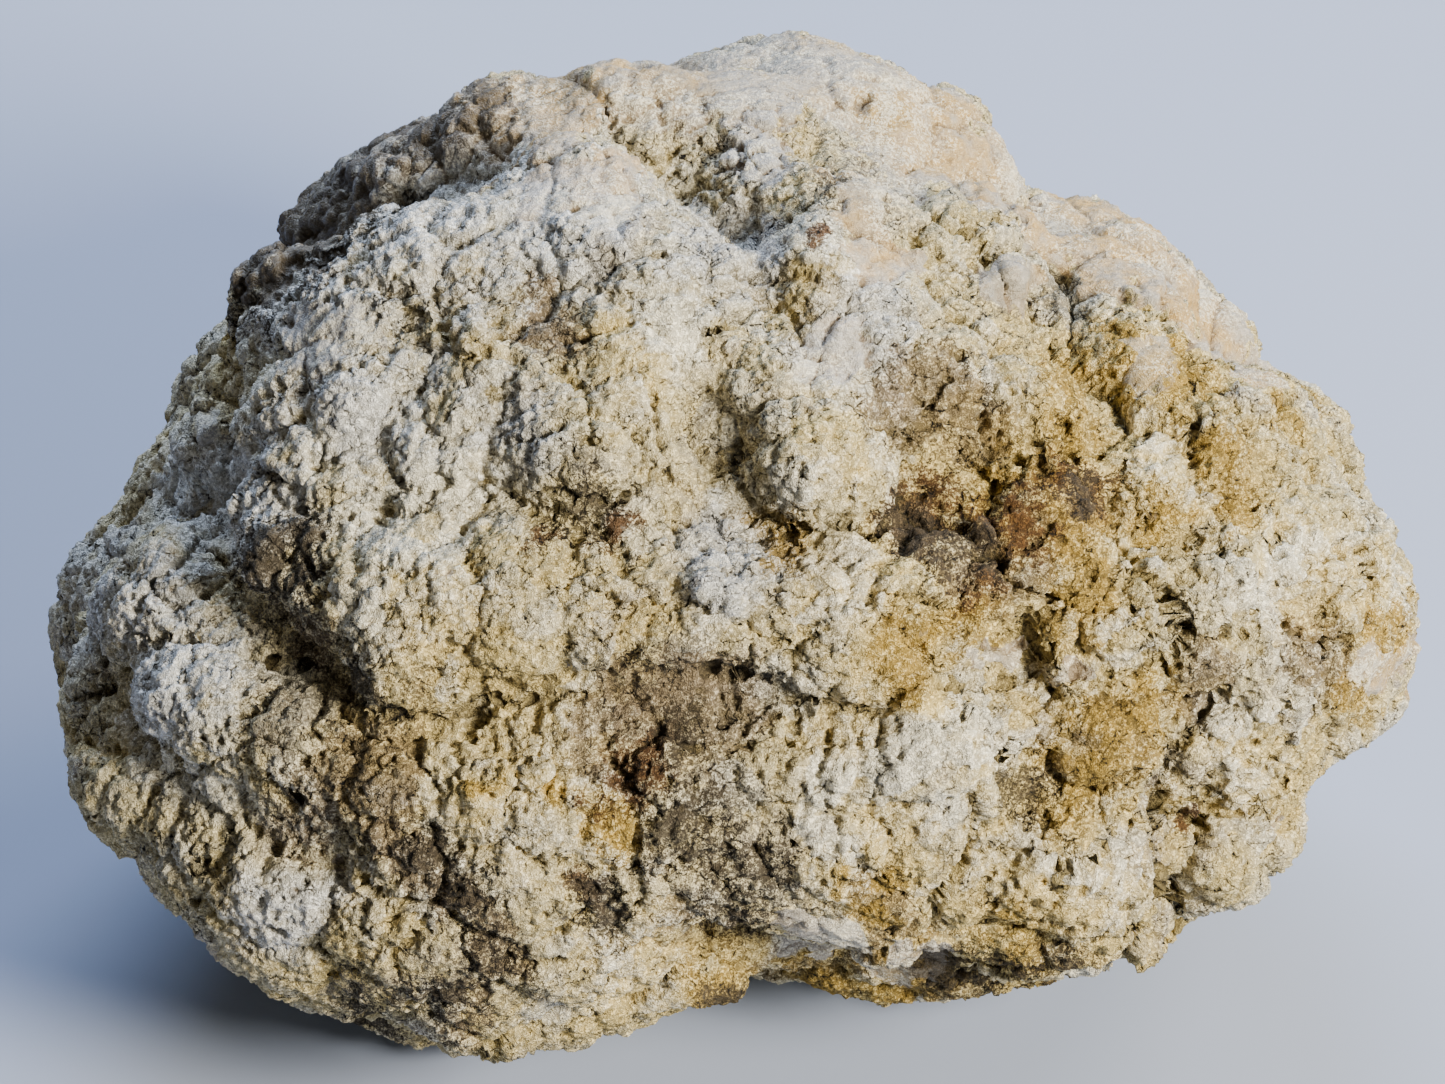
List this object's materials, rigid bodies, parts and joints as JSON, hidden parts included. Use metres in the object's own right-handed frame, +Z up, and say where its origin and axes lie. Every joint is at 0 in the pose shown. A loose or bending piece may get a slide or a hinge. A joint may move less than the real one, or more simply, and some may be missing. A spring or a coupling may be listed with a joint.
{
  "type": "geode",
  "caption": "Whole, uncut geode: a knobbly nodule of chalky cream rind with chalcedony showing on its top edge, resting on a small flat spot.",
  "frame": {"origin": "on the flat spot that the stone rests on, straight below the middle of the stone", "axes": "+Z up, +X along the stone's longest extent; the broad knobbly face looks towards -Y and up"},
  "size_m": [0.1368, 0.107, 0.0862],
  "materials": {
    "rind": "chalky, granular and matt, in cream with ochre, rust and grey patches; waxy grey and peach chalcedony along the top edge"
  },
  "bodies": {
    "root": {"geode": "rind"}
  },
  "joints": []
}
